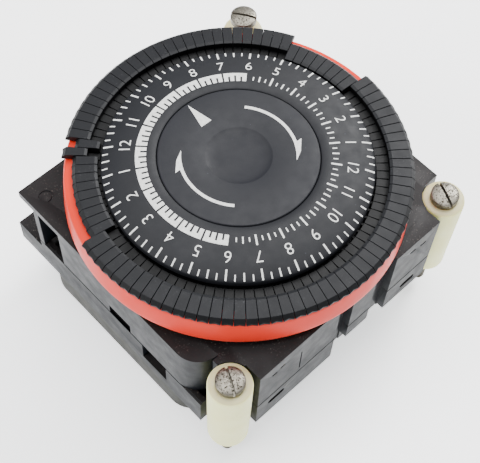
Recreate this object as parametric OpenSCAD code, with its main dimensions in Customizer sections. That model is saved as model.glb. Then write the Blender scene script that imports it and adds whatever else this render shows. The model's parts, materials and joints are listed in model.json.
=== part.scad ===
// Programmable 24-hour timer module with a tappet dial.
// Millimetres. +Z points out of the dial, +Y to the pointer's tip,
// the origin is the bottom centre of the rear cover.
// The housing stands on the rear cover; the dial is on top.

/* [Housing] */
// Width across the side walls
body_w = 66.5; // [64:0.5:68]
// Distance from centre to the top plate's set-back edge
plate_top_y = 29.7; // [28:0.1:33]
// Thickness of the outer walls
wall_t = 1.6; // [1.2:0.1:2]
// Height of the top plate's upper face
plate_z = 35.4; // [34:0.1:37]
// Thickness of the top plate
plate_t = 1.9; // [1.5:0.1:2.5]
// Height of the seam between the two shells
seam_z = 21.4; // [20:0.1:23]
// Lower edge of the lower shell
shell_z = 12.6; // [11:0.1:14]
// Side of the square pockets in the corners, from the centre
pocket_xy = 25.3; // [24:0.1:27]

/* [Mounting] */
// Distance between the mounting screws
screw_pitch = 60; // [58:0.5:62]
// Radius of the spacer tubes
spacer_r = 4.4; // [4:0.1:5]
// Lower end of the spacer tubes
spacer_z = 12.0; // [10:0.1:14]
// Length of the mounting screws under the head
screw_len = 33; // [28:1:40]

/* [Dial] */
// Outer radius of the red ring at its lower edge
ring_r = 35.0; // [33:0.5:36]
// Lower face of the red ring
ring_z0 = 37.6; // [37:0.1:38]
// Upper face of the red ring
ring_z1 = 44.1; // [43:0.1:44.2]
// Lower face of the tappet carrier
carrier_z0 = 38.6; // [38:0.1:39]
// Outer radius of the dial face
face_r = 27.0; // [26:0.1:28]
// Radius of the centre disc that carries the pointer
disc_r = 16.0; // [15:0.1:17]
// Number of tappets, one for each quarter of an hour
tappet_count = 96; // [96:96:96]
// Travel of one tappet
tappet_travel = 2.2; // [1.8:0.1:2.4]
// Direction of the first tick, from +X
first_tick = 41.5; // [0:0.5:90]

/* [Drive] */
// Module of the dial gear
dial_module = 0.5; // [0.4:0.1:0.6]
// Teeth of the dial gear
dial_teeth = 80; // [80:1:80]
// Teeth of the arbor's pinion
arbor_teeth = 12; // [12:1:12]
// Module of the reduction gears
train_module = 0.4; // [0.3:0.1:0.5]
// Teeth of each reduction wheel
wheel_teeth = 50; // [50:1:50]
// Teeth of each reduction pinion
pinion_teeth = 10; // [10:1:10]
// Radius of the synchronous motor
motor_r = 20.0; // [18:0.5:21]

/* [Hidden] */
$fn = 48;
eps = 0.02;
half_w = body_w / 2;
pocket_l = half_w - pocket_xy + 5;
screw_xy = screw_pitch / 2;
mount_points = [[-1, -1], [1, -1], [1, 1]];
tick_pitch = 360 / tappet_count;

// levels
floor_z = 16.2;
floor_t = 1.6;
floor_top = floor_z + floor_t;
seam_gap = 0.28;
plate_under = plate_z - plate_t;
lug_z = 18.8;
cover_t = 1.6;
cover_half_x = 31.6;
cover_y0 = -20.2;
cover_y1 = 28.4;
cover_corner_r = 6;
web_t = 1.6;
gear_z0 = 36.3;
hub_z1 = 43.5;
spindle_r = 3.0;

// tappet sections, radii in the outward position
slab_in = 29.8;
slab_out = 34.98;
slab_z = 44.5;
slab_half_in = 0.84;
slab_half_out = 1.02;
leg_in = 29.9;
leg_out = 31.3;
leg_half = 0.5;
foot_z = 36.7;
step_in = 27.3;
step_z = 42.9;
rib_top = 43.8;
socket_r = 31.6;
cap_half = 0.72;

// gear axes
dial_cd = dial_module * (dial_teeth + arbor_teeth) / 2;
train_cd = train_module * (wheel_teeth + pinion_teeth) / 2;
arbor_at = [dial_cd * cos(135), dial_cd * sin(135)];
motor_at = [0, 2];
first_dir = 54.4;
first_at = motor_at + train_cd * [cos(first_dir), sin(first_dir)];
chord = arbor_at - first_at;
chord_l = norm(chord);
chord_h = sqrt(train_cd * train_cd - chord_l * chord_l / 4);
second_at = first_at + chord / 2 - chord_h * [chord[1], -chord[0]] / chord_l;
wheel_t = 1.2;
level1 = 19.4;
level2 = 22.4;
level3 = 25.4;
axle_r = 0.6;
run = 0.05;
bridge_z = 29.4;
bridge_t = 1.2;
bridge_posts = [[20.5, 12], [2, 25], [-4, -2]];

// follower and switch
lever_at = [-25, -3];
lever_z = 35.6;
lever_t = 0.8;
nose_at = [-24.2, -15.2];
finger_at = [-25, -9];
case_x0 = -23;
case_x1 = -13;
case_y0 = -19;
case_y1 = 1;
case_z0 = 26.5;
case_z1 = 33.45;
tab_x = [-18, -9, 0, 9, 18];
tab_y = -26.5;

// ---------- shared shapes ----------

function involute(a) = tan(a) * 180 / PI - a;
function flank(m, z, back, r) = let (
    rp = m * z / 2,
    rb = rp * cos(20),
    half_p = (PI * m / 2 - back) / 2 / rp * 180 / PI,
    a = acos(min(1, rb / max(r, rb))))
    half_p + involute(20) - involute(a);
function polar(r, a) = [r * cos(a), r * sin(a)];

// A spur gear's outline with a tooth at the angle phase.
module gear_outline(m, z, add, phase) {
    back = 0.16;
    rp = m * z / 2;
    rb = rp * cos(20);
    ra = rp + add * m;
    rf = rp - 1.2 * m;
    r0 = max(rb, rf);
    root = flank(m, z, back, r0) - (rf < rb ? 0.05 / rf * 180 / PI : 0);
    steps = 3;
    rs = [for (i = [0:steps]) r0 + (ra - r0) * i / steps];
    polygon([for (k = [0:z - 1]) let (c = phase + k * 360 / z) each concat(
        [polar(rf, c - root)],
        [for (r = rs) polar(r, c - flank(m, z, back, r))],
        [for (i = [0:steps]) polar(rs[steps - i], c + flank(m, z, back, rs[steps - i]))],
        [polar(rf, c + root)])]);
}

module tube(r_out, r_in, h) {
    difference() {
        cylinder(r = r_out, h = h);
        translate([0, 0, -1]) cylinder(r = r_in, h = h + 2);
    }
}

// A rectangle between two corners, and a box between two corners.
module rect(x0, y0, x1, y1) {
    translate([x0, y0]) square([x1 - x0, y1 - y0]);
}

module box(x0, y0, z0, x1, y1, z1) {
    translate([x0, y0, z0]) cube([x1 - x0, y1 - y0, z1 - z0]);
}

module at_mounts() {
    for (p = mount_points) translate([p[0] * screw_xy, p[1] * screw_xy, 0]) children();
}

module rounded_rect(x0, y0, x1, y1, r) {
    rect(x0 + r, y0, x1 - r, y1);
    rect(x0, y0 + r, x1, y1 - r);
    for (p = [[x0 + r, y0 + r], [x1 - r, y0 + r], [x1 - r, y1 - r], [x0 + r, y1 - r]])
        translate(p) circle(r = r);
}

// A slotted screw pointing down, head on top, its seat at z = 0.
module pan_screw(shank_r, length, head_r, head_h, slot_angle) {
    difference() {
        union() {
            cylinder(r = head_r, h = head_h);
            translate([0, 0, -length]) cylinder(r = shank_r, h = length + eps);
        }
        rotate([0, 0, slot_angle])
            translate([-head_r - 1, -0.4, head_h / 2]) cube([2 * head_r + 2, 0.8, head_h]);
    }
}

// ---------- housing ----------

boss_points = [[-28, 6], [28, 8], [28, -12], [-28, -12], [14, 24.7]];
boss_r = 2.4;
gap1_x0 = -3.5;
gap1_x1 = 0.5;
gap2_x0 = 6.9;
gap2_x1 = 12.4;
block3_x1 = 25.6;
gap_depth = 1.9;

// Square pockets for the spacers at three corners.
module mount_pockets() {
    for (p = mount_points) {
        cx = p[0] > 0 ? pocket_xy : -pocket_xy - pocket_l;
        cy = p[1] > 0 ? pocket_xy : -pocket_xy - pocket_l;
        translate([cx, cy]) square(pocket_l);
    }
}

// Outline of the upper walls with the inward curve beside the first pocket.
module upper_outline() {
    curve_r = 5.5;
    difference() {
        rect(-half_w, -half_w, half_w, plate_top_y);
        mount_pockets();
        rect(-half_w - 1, -half_w, -29.2, -24.2);
        difference() {
            rect(-half_w - 1, -24.3, -half_w + curve_r, -18.7);
            translate([-half_w + curve_r, -18.7]) circle(r = curve_r);
        }
        rect(gap1_x0, -half_w - 1, gap1_x1, -half_w + gap_depth);
        rect(gap2_x0, -half_w - 1, gap2_x1, -half_w + gap_depth);
    }
}

// The hollow inside the upper walls.
module upper_hollow() {
    inner = half_w - wall_t;
    difference() {
        rect(-inner, -inner, inner, plate_top_y - wall_t);
        for (p = mount_points) {
            cx = p[0] > 0 ? pocket_xy - wall_t : -pocket_xy - pocket_l;
            cy = p[1] > 0 ? pocket_xy - wall_t : -pocket_xy - pocket_l;
            translate([cx, cy]) square(pocket_l + wall_t);
        }
        rect(-inner - 1, -24, -half_w + 5.5, -18.7);
        rect(-inner - 1, pocket_xy - wall_t, -pocket_xy + wall_t, half_w);
        rect(gap1_x0 - wall_t, -half_w, gap1_x1 + wall_t, -half_w + gap_depth + wall_t);
        rect(gap2_x0 - wall_t, -half_w, gap2_x1 + wall_t, -half_w + gap_depth + wall_t);
    }
    translate([-half_w + 5.5, -18.7]) circle(r = 5.5 - wall_t);
}

// A solid saddle in each pocket's corner that the spacer leans on.
module spacer_saddles(z0, z1) {
    reach = 29.2;
    difference() {
        for (p = mount_points)
            translate([p[0] > 0 ? pocket_xy - 1 : -reach, p[1] > 0 ? pocket_xy - 1 : -reach, z0])
                cube([reach - pocket_xy + 1, reach - pocket_xy + 1, z1 - z0]);
        at_mounts() translate([0, 0, z0 - 1]) cylinder(r = spacer_r + eps, h = z1 - z0 + 2);
    }
}

module upper_shell() {
    color([0.27, 0.25, 0.23]) difference() {
        union() {
            translate([0, 0, seam_z]) linear_extrude(plate_z - seam_z) difference() {
                upper_outline();
                upper_hollow();
            }
            // the plate itself, whole over the fourth corner
            translate([0, 0, plate_under]) linear_extrude(plate_t) union() {
                upper_outline();
                rect(-half_w, 20, -20, plate_top_y);
            }
            spacer_saddles(seam_z, plate_z);
            // pillars for the shell screws
            for (p = boss_points) translate([p[0], p[1], floor_top + 0.1])
                cylinder(r = boss_r, h = plate_under - floor_top);
            // thrust collar and boss that hold the spindle
            cylinder_at(0, 0, plate_z - eps, 36.15, 6.0);
            cylinder_at(0, 0, 32, plate_under + eps, 6.0);
            // boss around the drive arbor
            cylinder_at(arbor_at[0], arbor_at[1], 32, plate_under + eps, 3.2);
            // rails that hold the switch
            box(case_x0, case_y1 + 0.05, 29, case_x1, case_y1 + 1.2, plate_under + eps);
            box(case_x0, case_y0 - 1.2, 29, case_x1, case_y0 - 0.05, plate_under + eps);
            // stop for the follower lever's spring
            box(-22.0, -4.6, plate_z - eps, -20.8, -2.6, 36.9);
        }
        // the open space under the fourth corner's plate
        box(-half_w - 1, pocket_xy, seam_z - 1, -pocket_xy, half_w, plate_under);
        // long window and small slot in the left wall
        box(-half_w - 1, 17.3, seam_z - 1, -half_w + wall_t + 0.1, 23.7, plate_under);
        box(-half_w - 1, -4.2, seam_z - 1, -half_w + wall_t + 0.1, 2.3, 24.4);
        // bores
        cylinder_at(0, 0, 30, 38, spindle_r + eps);
        cylinder_at(arbor_at[0], arbor_at[1], 30, 38, 1.5 + run);
        for (p = boss_points) cylinder_at(p[0], p[1], 17, 26.5, 1.0);
        // slot for the follower's finger
        box(-26.1, -10.1, 33, -22.2, -7.9, 36);
        // hole for the lever's pivot
        cylinder_at(lever_at[0], lever_at[1], 33, 36, 1.0);
        // seat of the lever spring's foot
        box(-21.55, -4.7, 35.95, -21.2, -3.3, 38);
        // shallow slots and dashes in the front wall
        wall_recess(-14.0, 23.0, -13.7, 30.6);
        wall_recess(-21.9, 31.2, -20.6, 31.8);
        wall_recess(-19.8, 31.8, -18.5, 32.4);
        wall_recess(17.0, 31.8, 18.6, 32.4);
        wall_recess(20.2, 31.2, 21.9, 31.8);
        // moulding mark on the plate
        translate([-29.8, 25.0, plate_z - 0.25]) difference() {
            tube(1.5, 1.15, 1);
            box(-2, -2, -1, -0.4, 0.3, 2);
        }
    }
}

// A shallow recess in the front wall, from corner to corner in X and Z.
module wall_recess(x0, z0, x1, z1) {
    box(x0, -half_w - 1, z0, x1, -half_w + 0.4, z1);
}

// A shallow oval recess in the front wall.
module oval_recess(x0, x1, z) {
    r = 0.8;
    for (x = [x0 + r, x1 - r]) translate([x, -half_w + 0.5, z]) rotate([90, 0, 0])
        cylinder(r = r, h = 2);
    wall_recess(x0 + r, z - r, x1 - r, z + r);
}

module cylinder_at(x, y, z0, z1, r) {
    translate([x, y, z0]) cylinder(r = r, h = z1 - z0);
}

// The lower shell's outline, full square except for the spacer pockets.
module lower_outline() {
    difference() {
        rect(-half_w, -half_w, half_w, half_w);
        mount_pockets();
        rect(gap1_x0, -half_w - 1, gap1_x1, -half_w + gap_depth);
        rect(gap2_x0, -half_w - 1, gap2_x1, -half_w + gap_depth);
    }
}

module lower_hollow() {
    inner = half_w - wall_t;
    difference() {
        rect(-inner, -inner, inner, inner);
        for (p = mount_points) {
            cx = p[0] > 0 ? pocket_xy - wall_t : -pocket_xy - pocket_l;
            cy = p[1] > 0 ? pocket_xy - wall_t : -pocket_xy - pocket_l;
            translate([cx, cy]) square(pocket_l + wall_t);
        }
        rect(gap1_x0 - wall_t, -half_w, gap1_x1 + wall_t, -half_w + gap_depth + wall_t);
        rect(gap2_x0 - wall_t, -half_w, gap2_x1 + wall_t, -half_w + gap_depth + wall_t);
    }
}

module lower_shell() {
    color([0.29, 0.27, 0.25]) difference() {
        union() {
            translate([0, 0, shell_z]) linear_extrude(seam_z - shell_z) difference() {
                lower_outline();
                lower_hollow();
            }
            translate([0, 0, floor_z]) linear_extrude(floor_t) lower_outline();
            spacer_saddles(shell_z, seam_z);
            // deep pit under the curved wall
            box(-half_w + 0.5, -pocket_xy, shell_z, -25.3, -20.35, floor_top);
            // solid lug under the fourth corner
            box(-half_w, pocket_xy - wall_t, floor_z, -pocket_xy + wall_t, half_w, lug_z);
            // bearings of the train and posts for the bridge
            cylinder_at(arbor_at[0], arbor_at[1], floor_z, 21.0, 2.2);
            cylinder_at(first_at[0], first_at[1], floor_z, 19.1, 1.8);
            cylinder_at(second_at[0], second_at[1], floor_z, 21.9, 1.2);
            for (p = bridge_posts) cylinder_at(p[0], p[1], floor_z, bridge_z, 2.0);
            // bosses under the floor for the rear cover's screws
            for (p = cover_points) cylinder_at(p[0], p[1], 4.1, floor_z + eps, 2.4);
        }
        // the fourth corner is lower than the seam
        box(-half_w - 1, pocket_xy, lug_z, -pocket_xy, half_w + 1, seam_z + 1);
        box(-half_w + wall_t, -24.6, shell_z + 0.8, -26.0, -21.0, seam_z + 1);
        // rebate along the seam
        box(-half_w - 1, -half_w - 1, seam_z - seam_gap, -half_w + 0.5, half_w + 1, seam_z + 1);
        box(half_w - 0.5, -half_w - 1, seam_z - seam_gap, half_w + 1, half_w + 1, seam_z + 1);
        box(-half_w - 1, -half_w - 1, seam_z - seam_gap, half_w + 1, -half_w + 0.5, seam_z + 1);
        // window in the left wall and the raised lower edge of the wall blocks
        box(-half_w - 1, -14.9, 15.4, -half_w + 1.4, -7.7, seam_z + 1);
        box(-half_w - 1, -14.9, floor_top, -half_w + wall_t + 1, -7.7, seam_z + 1);
        oval_recess(-22.2, -17.6, 18.0);
        oval_recess(17.2, 21.6, 17.0);
        box(gap1_x1, -half_w - 1, shell_z - 1, gap2_x0, -half_w + wall_t + 0.05, floor_z + 0.1);
        box(gap2_x1, -half_w - 1, shell_z - 1, block3_x1, -half_w + wall_t + 0.05, 13.4);
        // bores
        cylinder_at(arbor_at[0], arbor_at[1], 18.0, 22, 0.8 + run);
        cylinder_at(first_at[0], first_at[1], 16.8, 20, axle_r);
        cylinder_at(second_at[0], second_at[1], 16.8, 22, axle_r);
        cylinder_at(motor_at[0], motor_at[1], 15, 19, 2.7);
        for (p = boss_points) cylinder_at(p[0], p[1], 15, 19, 1.25);
        for (p = bridge_posts) cylinder_at(p[0], p[1], 24.4, 30, 0.75);
        for (p = cover_points) cylinder_at(p[0], p[1], 3, 13.6, 0.95);
        for (x = tab_x) box(x - 3.2, tab_y - 0.45, 15, x + 3.2, tab_y + 0.45, 19);
    }
}

cover_points = [[-26, 23.2], [19, 23.8], [-24.5, -15.6], [24.5, -15.6]];
cover_wall = 1.4;
notch_xy = 23.2;

// The cover's outline, set in by inset, with a notch for the third spacer.
module cover_outline(inset) {
    difference() {
        rounded_rect(-cover_half_x + inset, cover_y0 + inset, cover_half_x - inset,
            cover_y1 - inset, cover_corner_r - inset);
        translate([notch_xy - inset, notch_xy - inset]) square(20);
    }
}

module rear_cover() {
    color([0.36, 0.36, 0.31]) difference() {
        union() {
            difference() {
                linear_extrude(floor_z) cover_outline(0);
                translate([0, 0, cover_t]) linear_extrude(floor_z) cover_outline(cover_wall);
            }
            for (p = cover_points) cylinder_at(p[0], p[1], 0, 4.0, 3.6);
        }
        // counterbored screw wells
        for (p = cover_points) {
            cylinder_at(p[0], p[1], -1, 2.4, 2.3);
            cylinder_at(p[0], p[1], -1, 5, 1.3);
        }
        // notch where the coil's leads leave
        box(0.4, cover_y0 - 1, 12.2, 11.4, cover_y0 + 2, floor_z + 1);
    }
}

module mounting_spacers() {
    color([0.85, 0.83, 0.73]) at_mounts() difference() {
        cylinder_at(0, 0, spacer_z, plate_z, spacer_r);
        cylinder_at(0, 0, spacer_z - 1, plate_z + 1, 1.62);
    }
}

// Long screws; the far one is backed out a little. Their shanks are reduced
// inside the spacers, and the threads stand out below.
module mounting_screws() {
    head_r = 2.9;
    head_h = 2.0;
    shank_r = 1.34;
    thread_r = 1.5;
    thread_top = 11.4;
    slot_angles = [-117, -113, -56];
    backed_out = [0, 0, 3.0];
    color([0.66, 0.66, 0.64]) for (i = [0:2])
        translate([mount_points[i][0] * screw_xy, mount_points[i][1] * screw_xy,
            plate_z + eps + backed_out[i]]) {
            pan_screw(shank_r, screw_len, head_r, head_h, slot_angles[i]);
            translate([0, 0, -screw_len])
                cylinder(r = thread_r, h = thread_top - plate_z - backed_out[i] + screw_len);
        }
}

module shell_screws() {
    color([0.6, 0.6, 0.6]) for (p = boss_points) translate([p[0], p[1], floor_z - eps])
        mirror([0, 0, 1]) pan_screw(0.98, 9.4, 2.0, 1.3, 30);
}

module cover_screws() {
    color([0.6, 0.6, 0.6]) for (p = cover_points) translate([p[0], p[1], 2.38])
        mirror([0, 0, 1]) pan_screw(0.93, 10, 2.0, 1.3, 75);
}

module terminal_tabs() {
    tab_w = 6.3;
    tab_t = 0.8;
    color([0.78, 0.70, 0.45]) for (x = tab_x) difference() {
        union() {
            box(x - tab_w / 2, tab_y - tab_t / 2, 6.6, x + tab_w / 2, tab_y + tab_t / 2, 19);
            translate([x, tab_y + tab_t / 2, 6.6]) rotate([90, 0, 0]) linear_extrude(tab_t)
                polygon([[-3.15, 0.01], [-2.2, -1.6], [2.2, -1.6], [3.15, 0.01]]);
            box(x - tab_w / 2, tab_y - tab_t / 2, 18.0, x + tab_w / 2, tab_y + 2.4, 18.8);
        }
        translate([x, tab_y + 1, 9.2]) rotate([90, 0, 0]) cylinder(r = 0.85, h = 2);
    }
}

// ---------- dial ----------

module rib(k) {
    rib_t = 0.45;
    rotate([0, 0, first_tick + k * tick_pitch])
        box(26.8, -rib_t / 2, carrier_z0, socket_r, rib_t / 2, rib_top);
}

module tappet_ring() {
    color([0.93, 0.33, 0.24]) rotate_extrude($fn = 192) polygon([[socket_r, ring_z0],
        [ring_r - 0.2, ring_z0], [ring_r, ring_z0 + 0.25], [34.55, 43.2], [34.35, 43.8],
        [33.9, ring_z1], [socket_r, ring_z1]]);
}

// Hub, web and inner band, with the ribs that guide the tappets.
module tappet_carrier() {
    color([0.17, 0.17, 0.18]) {
        rotate_extrude($fn = 192) polygon([[spindle_r + run, 36.2], [5.5, 36.2],
            [5.5, carrier_z0], [face_r, carrier_z0], [face_r, 42.6], [25.6, 42.6],
            [25.6, carrier_z0 + web_t], [5.5, carrier_z0 + web_t], [5.5, hub_z1],
            [spindle_r + run, hub_z1]]);
        for (k = [0:tappet_count - 1]) rib(k);
    }
}

module dial_face() {
    color([0.20, 0.20, 0.215]) rotate_extrude($fn = 192) polygon([[16.15, 40.2], [17.6, 40.2],
        [17.6, 46.5], [20.2, 46.4], [23.6, 45.75], [25.2, 44.85], [face_r - 0.3, 44.85],
        [face_r, 45.1], [face_r, 46.15], [26.8, 46.35], [24.8, 47.14], [22.5, 47.66],
        [20.2, 48.05], [18.0, 48.24], [16.4, 48.28], [16.15, 48.1]]);
}

module dial_gear() {
    color([0.80, 0.78, 0.70]) translate([0, 0, gear_z0]) linear_extrude(carrier_z0 - gear_z0)
        difference() {
            gear_outline(dial_module, dial_teeth, 0.75, 135 + 180 / dial_teeth);
            circle(r = 15);
        }
}

module centre_disc() {
    dimple_r = 6.7;
    dimple_d = 0.5;
    ball_r = (dimple_r * dimple_r + dimple_d * dimple_d) / (2 * dimple_d);
    color([0.19, 0.19, 0.205]) difference() {
        union() {
            rotate_extrude($fn = 192) polygon([[0, 46.7], [disc_r - 0.2, 46.7],
                [disc_r, 46.9], [disc_r, 48.15], [disc_r - 0.15, 48.3], [0, 48.3]]);
            cylinder_at(0, 0, 45.0, 46.72, 5.0);
        }
        cylinder_at(0, 0, 44, 46.4, spindle_r);
        translate([0, 0, 48.3 + ball_r - dimple_d]) sphere(r = ball_r, $fn = 96);
    }
}

module dial_spindle() {
    color([0.72, 0.72, 0.73]) difference() {
        union() {
            cylinder_at(0, 0, 31.6, 46.4, spindle_r);
            cylinder_at(0, 0, 31.6, 32.0, 5.0);
        }
        translate([0, 0, 44.25]) tube(5, 2.4, 0.6);
    }
}

module spindle_clip() {
    color([0.55, 0.56, 0.57]) translate([0, 0, 44.28]) linear_extrude(0.54) difference() {
        circle(r = 4.8);
        circle(r = 2.42);
        rect(0, -1.9, 6, 1.9);
    }
}

module dial_spring_washer() {
    color([0.60, 0.61, 0.62]) rotate_extrude() polygon([[3.15, 43.62], [3.6, 43.62],
        [5.2, 43.95], [5.2, 44.2], [4.6, 44.2], [3.15, 43.85]]);
}

// One tappet in its outward position at tick index i, moved inward by shift.
module tappet(i, shift) {
    rotate([0, 0, first_tick + (i + 0.5) * tick_pitch]) translate([-shift, 0, 0]) {
        // slab: seen from above a wedge with a notched end, seen from the side bevelled outside
        intersection() {
            translate([0, 0, slab_z]) linear_extrude(2) polygon([[slab_in, -slab_half_in],
                [34.3, -slab_half_out], [slab_out, -0.74], [34.5, 0], [slab_out, 0.74],
                [34.3, slab_half_out], [slab_in, slab_half_in]]);
            translate([0, 2, 0]) rotate([90, 0, 0]) linear_extrude(4) polygon([
                [slab_in - 1, slab_z - 1], [slab_out + 1, slab_z - 1],
                [slab_out + 1, 44.0], [slab_out, 44.95], [34.1, 45.9], [30.4, 46.05],
                [slab_in, 45.85], [slab_in - 1, 45.85]]);
        }
        // leg that reaches the follower
        box(leg_in, -leg_half, foot_z + 0.3, leg_out, leg_half, slab_z + eps);
        box(leg_in + 0.25, -leg_half + 0.15, foot_z, leg_out - 0.25, leg_half - 0.15,
            foot_z + 0.4);
        // step under the face, wider above the ribs
        box(step_in, -leg_half, step_z, leg_in + eps, leg_half, slab_z);
        box(step_in, -cap_half, rib_top + 0.18, leg_in + eps, cap_half, slab_z);
    }
}

module pushed_tappet(i) {
    color([0.19, 0.19, 0.20]) tappet(i, tappet_travel);
}

module outward_tappets(first, last) {
    color([0.19, 0.19, 0.20]) for (i = [first:last]) tappet(i, 0);
}

module outer_tappets_night() { outward_tappets(-4, 22); }
module outer_tappets_morning() { outward_tappets(34, 58); }
module outer_tappets_day() { outward_tappets(59, 83); }
module tappet_24() { outward_tappets(24, 24); }

// ---------- drive ----------

module drive_arbor() {
    color([0.78, 0.76, 0.68]) translate([arbor_at[0], arbor_at[1], 0]) {
        translate([0, 0, gear_z0]) linear_extrude(1.9)
            gear_outline(dial_module, arbor_teeth, 0.9, -45);
        cylinder_at(0, 0, 24.9, gear_z0 + 1, 1.5);
        cylinder_at(0, 0, 18.3, 25, 0.8);
        cylinder_at(0, 0, 24.3, 25.3, 2.4);
        cylinder_at(0, 0, 30.0, 30.8, 2.6);
    }
}

module clutch_spring() {
    color([0.62, 0.63, 0.64]) translate([arbor_at[0], arbor_at[1], 0]) rotate_extrude()
        polygon([[3.4, 26.65], [4.2, 26.65], [2.2, 29.95], [1.6, 29.95], [1.6, 29.6]]);
}

module train_wheel(at, z, phase, pinion_z, pinion_phase, bore) {
    translate([at[0], at[1], 0]) difference() {
        union() {
            translate([0, 0, z]) linear_extrude(wheel_t)
                gear_outline(train_module, wheel_teeth, 0.75, phase);
            translate([0, 0, pinion_z]) linear_extrude(wheel_t)
                gear_outline(train_module, pinion_teeth, 0.9, pinion_phase);
            cylinder_at(0, 0, z, pinion_z + eps, 1.5);
        }
        cylinder_at(0, 0, z - 1, pinion_z + 3, bore);
        for (k = [0:3]) rotate([0, 0, 90 * k + 45]) cylinder_at(5.6, 0, z - 1, z + 3, 2.2);
    }
}

function heading(p, q) = atan2(q[1] - p[1], q[0] - p[0]);
half_wheel = 180 / wheel_teeth;

module clutch_wheel() {
    color([0.90, 0.89, 0.84]) translate([arbor_at[0], arbor_at[1], level3]) difference() {
        linear_extrude(wheel_t) gear_outline(train_module, wheel_teeth, 0.75,
            heading(arbor_at, second_at) + half_wheel);
        translate([0, 0, -1]) cylinder(r = 1.5 + run, h = 4);
        for (k = [0:3]) rotate([0, 0, 90 * k + 20]) cylinder_at(6.4, 0, -1, 3, 1.8);
    }
}

module second_wheel() {
    color([0.90, 0.89, 0.84]) train_wheel(second_at, level2,
        heading(second_at, first_at) + half_wheel, level3, heading(second_at, arbor_at),
        axle_r + run);
}

module first_wheel() {
    color([0.90, 0.89, 0.84]) train_wheel(first_at, level1,
        heading(first_at, motor_at) + half_wheel, level2, heading(first_at, second_at),
        axle_r + run);
}

module wheel_axles() {
    color([0.72, 0.73, 0.74]) for (p = [first_at, second_at])
        cylinder_at(p[0], p[1], 16.9, bridge_z + 0.9, axle_r);
}

module bearing_bridge() {
    color([0.76, 0.77, 0.78]) difference() {
        translate([0, 0, bridge_z]) linear_extrude(bridge_t)
            polygon([[23.2, 13.2], [22.6, 9.8], [18.5, 8.8], [-3, -4.8], [-6.2, -4], [-7, -1],
                [-7.4, 11.5], [-6.6, 14.6], [-0.6, 26.4], [1.4, 27.6], [4, 27], [22, 15]]);
        for (p = bridge_posts) cylinder_at(p[0], p[1], 28, 32, 1.1);
        for (p = [first_at, second_at]) cylinder_at(p[0], p[1], 28, 32, axle_r);
    }
}

module bridge_screws() {
    color([0.6, 0.6, 0.6]) for (p = bridge_posts)
        translate([p[0], p[1], bridge_z + bridge_t]) pan_screw(0.72, 5.5, 1.8, 0.9, 15);
}

module rotor_magnet() {
    color([0.25, 0.25, 0.27]) translate([motor_at[0], motor_at[1], 4.0]) tube(7.0, 1.0, 9.4);
}

module rotor_shaft() {
    color([0.74, 0.75, 0.76]) translate([motor_at[0], motor_at[1], 0]) {
        cylinder_at(0, 0, 2.2, 21.2, 1.0);
        translate([0, 0, level1]) linear_extrude(wheel_t)
            gear_outline(train_module, pinion_teeth, 0.9, heading(motor_at, first_at));
    }
}

cup_split = 8.9;

// A pole fits between each pair of the other cup's poles.
module poles(z0, z1, offset_angle) {
    for (k = [0:4]) rotate([0, 0, 72 * k + offset_angle]) translate([0, 0, z0])
        linear_extrude(z1 - z0) intersection() {
            difference() {
                circle(r = 8.6);
                circle(r = 7.5);
            }
            polygon([[0, 0], [12, -2.6], [12, 2.6]]);
        }
}

module stator_cup_upper() {
    color([0.60, 0.61, 0.60]) translate([motor_at[0], motor_at[1], 0]) difference() {
        union() {
            translate([0, 0, 15.15]) tube(motor_r, 1.0 + run, 1.0);
            translate([0, 0, cup_split]) tube(motor_r, motor_r - 1.0, 6.3);
            poles(4.4, 15.2, 0);
        }
        box(0.6, -24, 12.2, 11.2, -14, 13.6);
    }
}

module stator_cup_lower() {
    color([0.60, 0.61, 0.60]) translate([motor_at[0], motor_at[1], 0]) {
        difference() {
            cylinder_at(0, 0, 1.62, cup_split, motor_r);
            cylinder_at(0, 0, 2.8, 12, motor_r - 1.0);
            cylinder_at(0, 0, 2.0, 4, 1.0 + run);
        }
        poles(2.7, 13.4, 36);
    }
}

module coil_bobbin() {
    color([0.86, 0.84, 0.76]) translate([motor_at[0], motor_at[1], 0]) rotate_extrude()
        polygon([[8.9, 2.9], [18.6, 2.9], [18.6, 3.9], [9.9, 3.9], [9.9, 13.6], [18.6, 13.6],
            [18.6, 14.6], [8.9, 14.6]]);
}

module coil_winding() {
    color([0.72, 0.38, 0.18]) translate([motor_at[0], motor_at[1], 3.95]) tube(17.8, 9.95, 9.6);
}

module coil_leads() {
    color([0.70, 0.16, 0.12]) for (p = [[2, 15.9], [10, 13.1]])
        translate([p[0], 0, 12.9]) rotate([90, 0, 0])
            cylinder_at(0, 0, p[1], -tab_y - 0.4, 0.45);
}

// ---------- follower and switch ----------

module follower_lever() {
    color([0.80, 0.66, 0.34]) difference() {
        union() {
            translate([0, 0, lever_z]) linear_extrude(lever_t) union() {
                translate(lever_at) circle(r = 2.2);
                polygon([[-26.6, -3.2], [-23.2, -3.2], [-23.4, -12], [-23.2, -15.2],
                    [-25.2, -15.2], [-26.4, -11.5]]);
                translate(nose_at) circle(r = 1.0);
            }
            cylinder_at(nose_at[0], nose_at[1], lever_z, 36.55, 0.9);
            cylinder_at(finger_at[0], finger_at[1], 28.4, lever_z + 0.1, 0.6);
        }
        cylinder_at(lever_at[0], lever_at[1], 35, 37, 1.0 + run);
    }
}

module lever_pivot() {
    color([0.70, 0.71, 0.72]) {
        cylinder_at(lever_at[0], lever_at[1], plate_under + 0.1, 36.6, 1.0);
        cylinder_at(lever_at[0], lever_at[1], 36.5, 37.1, 1.7);
    }
}

module lever_spring() {
    spring_t = 0.25;
    spring_x = -21.25;
    color([0.62, 0.63, 0.64]) translate([0, 0, 36.0]) linear_extrude(0.8) polygon([
        [spring_x, -3.4], [spring_x - spring_t, -3.4], [spring_x - spring_t, -6.2],
        [-23.15, -11.6], [-22.92, -11.7], [spring_x, -6.3]]);
}

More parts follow.
